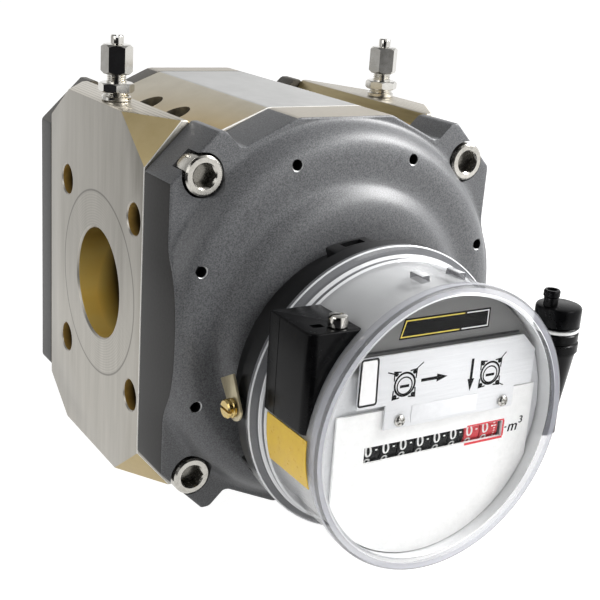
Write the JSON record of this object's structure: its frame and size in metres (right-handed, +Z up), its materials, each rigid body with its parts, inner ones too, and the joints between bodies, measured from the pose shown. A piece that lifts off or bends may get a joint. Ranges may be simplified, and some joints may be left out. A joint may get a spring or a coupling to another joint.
{
  "type": "rotary gas meter",
  "caption": "Rotary lobe gas meter with pipe flanges at both sides, bolted covers and a swivelling index head with a clear cap and number wheels.",
  "frame": {"origin": "middle of the flat of the lower crown that the meter stands on", "axes": "+Z up, +X along the pipe axis from the left flange to the right flange, -Y out of the front, where the index head is"},
  "size_m": [0.1744, 0.2679, 0.2125],
  "materials": {
    "milled_aluminium": "milled and lightly passivated",
    "coated_aluminium": "satin structured powder coat",
    "bright_steel": "bright",
    "nickel": "nickel plated",
    "rotor_aluminium": "machined",
    "brass": "dull",
    "black_plastic": "satin moulded",
    "clear_plastic": "clear polycarbonate",
    "grey_plastic": "satin moulded",
    "white_plastic": "satin",
    "red_plastic": "satin moulded",
    "yellow_film": "printed film",
    "magnet": "ferrite"
  },
  "bodies": {
    "meter": {"meter_housing": "milled_aluminium", "front_cover": "coated_aluminium", "rear_cover": "coated_aluminium", "front_bearing_plate": "rotor_aluminium", "rear_bearing_plate": "rotor_aluminium", "front_bearing_upper": "bright_steel", "front_bearing_lower": "bright_steel", "rear_bearing_upper": "bright_steel", "rear_bearing_lower": "bright_steel", "front_screw_upper_left": "bright_steel", "front_screw_upper_right": "bright_steel", "front_screw_lower_left": "bright_steel", "front_screw_lower_right": "bright_steel", "rear_screw_upper_left": "bright_steel", "rear_screw_upper_right": "bright_steel", "rear_screw_lower_left": "bright_steel", "rear_screw_lower_right": "bright_steel", "test_point_washer_left": "nickel", "test_point_body_left": "nickel", "test_point_cap_left": "nickel", "test_point_plug_left": "nickel", "test_point_washer_right": "nickel", "test_point_body_right": "nickel", "test_point_cap_right": "nickel", "test_point_plug_right": "nickel"},
    "upper_rotor": {"rotor_upper": "rotor_aluminium", "timing_gear_upper": "bright_steel"},
    "lower_rotor": {"rotor_lower": "rotor_aluminium", "timing_gear_lower": "bright_steel", "drive_pinion": "bright_steel"},
    "magnet_drive": {"drive_magnet": "magnet"},
    "index_head": {"index_base": "black_plastic", "index_cap": "clear_plastic", "index_frame": "grey_plastic", "scale_plate": "white_plastic", "info_panel": "bright_steel", "panel_screw_left": "bright_steel", "panel_screw_right": "bright_steel", "wheel_axle": "bright_steel", "transfer_pinions": "white_plastic", "plug_box": "black_plastic", "seal_screw": "nickel", "side_label": "yellow_film", "seal_tab_screw": "brass", "cartridge_body": "black_plastic", "cartridge_seal": "white_plastic", "cartridge_cap": "black_plastic"},
    "index_drive": {"index_magnet": "magnet"},
    "wheel_1": {"number_wheel_1": "black_plastic"},
    "wheel_2": {"number_wheel_2": "black_plastic"},
    "wheel_3": {"number_wheel_3": "black_plastic"},
    "wheel_4": {"number_wheel_4": "black_plastic"},
    "wheel_5": {"number_wheel_5": "black_plastic"},
    "wheel_6": {"number_wheel_6": "black_plastic"},
    "wheel_7": {"number_wheel_7": "red_plastic"},
    "wheel_8": {"number_wheel_8": "red_plastic"},
    "tab": {"seal_tab": "brass"}
  },
  "joints": [
    {"name": "upper_rotor_spin", "type": "hinge", "parent": "meter", "child": "upper_rotor", "pos_m": [0, 0, 0.1281], "axis": [0, -1, 0], "continuous": true},
    {"name": "lower_rotor_spin", "type": "hinge", "parent": "meter", "child": "lower_rotor", "pos_m": [0, 0, 0.0589], "axis": [0, -1, 0], "continuous": true},
    {"name": "magnet_drive_spin", "type": "hinge", "parent": "meter", "child": "magnet_drive", "pos_m": [0, 0, 0.0718], "axis": [0, -1, 0], "continuous": true},
    {"name": "index_head_swivel", "type": "hinge", "parent": "meter", "child": "index_head", "pos_m": [0, -0.0988, 0.0718], "axis": [0, -1, 0], "range_deg": [-177.5, 177.5]},
    {"name": "index_drive_spin", "type": "hinge", "parent": "index_head", "child": "index_drive", "pos_m": [0, -0.115, 0.0718], "axis": [0, -1, 0], "continuous": true},
    {"name": "wheel_1_turn", "type": "hinge", "parent": "index_head", "child": "wheel_1", "pos_m": [-0.0298, -0.1522, 0.0635], "axis": [1, 0, 0], "continuous": true},
    {"name": "wheel_2_turn", "type": "hinge", "parent": "index_head", "child": "wheel_2", "pos_m": [-0.021, -0.1522, 0.0635], "axis": [1, 0, 0], "continuous": true},
    {"name": "wheel_3_turn", "type": "hinge", "parent": "index_head", "child": "wheel_3", "pos_m": [-0.0122, -0.1522, 0.0635], "axis": [1, 0, 0], "continuous": true},
    {"name": "wheel_4_turn", "type": "hinge", "parent": "index_head", "child": "wheel_4", "pos_m": [-0.0034, -0.1522, 0.0635], "axis": [1, 0, 0], "continuous": true},
    {"name": "wheel_5_turn", "type": "hinge", "parent": "index_head", "child": "wheel_5", "pos_m": [0.0054, -0.1522, 0.0635], "axis": [1, 0, 0], "continuous": true},
    {"name": "wheel_6_turn", "type": "hinge", "parent": "index_head", "child": "wheel_6", "pos_m": [0.0142, -0.1522, 0.0635], "axis": [1, 0, 0], "continuous": true},
    {"name": "wheel_7_turn", "type": "hinge", "parent": "index_head", "child": "wheel_7", "pos_m": [0.023, -0.1522, 0.0635], "axis": [1, 0, 0], "continuous": true},
    {"name": "wheel_8_turn", "type": "hinge", "parent": "index_head", "child": "wheel_8", "pos_m": [0.0326, -0.1522, 0.0635], "axis": [1, 0, 0], "continuous": true},
    {"name": "seal_tab_turn", "type": "hinge", "parent": "index_head", "child": "tab", "pos_m": [-0.0681, -0.1155, 0.0715], "axis": [1, 0, 0], "range_deg": [-90, 90]}
  ],
  "couplings": [
    {"joint": "lower_rotor_spin", "follows": "upper_rotor_spin", "ratio": -1},
    {"joint": "magnet_drive_spin", "follows": "upper_rotor_spin", "ratio": 0.5},
    {"joint": "index_drive_spin", "follows": "upper_rotor_spin", "ratio": 0.5},
    {"joint": "wheel_8_turn", "follows": "upper_rotor_spin", "ratio": 0.0097},
    {"joint": "wheel_7_turn", "follows": "upper_rotor_spin", "ratio": 0.00097},
    {"joint": "wheel_6_turn", "follows": "upper_rotor_spin", "ratio": 0.000097},
    {"joint": "wheel_5_turn", "follows": "upper_rotor_spin", "ratio": 0.0000097},
    {"joint": "wheel_4_turn", "follows": "upper_rotor_spin", "ratio": 0.00000097},
    {"joint": "wheel_3_turn", "follows": "upper_rotor_spin", "ratio": 0.000000097},
    {"joint": "wheel_2_turn", "follows": "upper_rotor_spin", "ratio": 0.0000000097},
    {"joint": "wheel_1_turn", "follows": "upper_rotor_spin", "ratio": 0.00000000097}
  ]
}
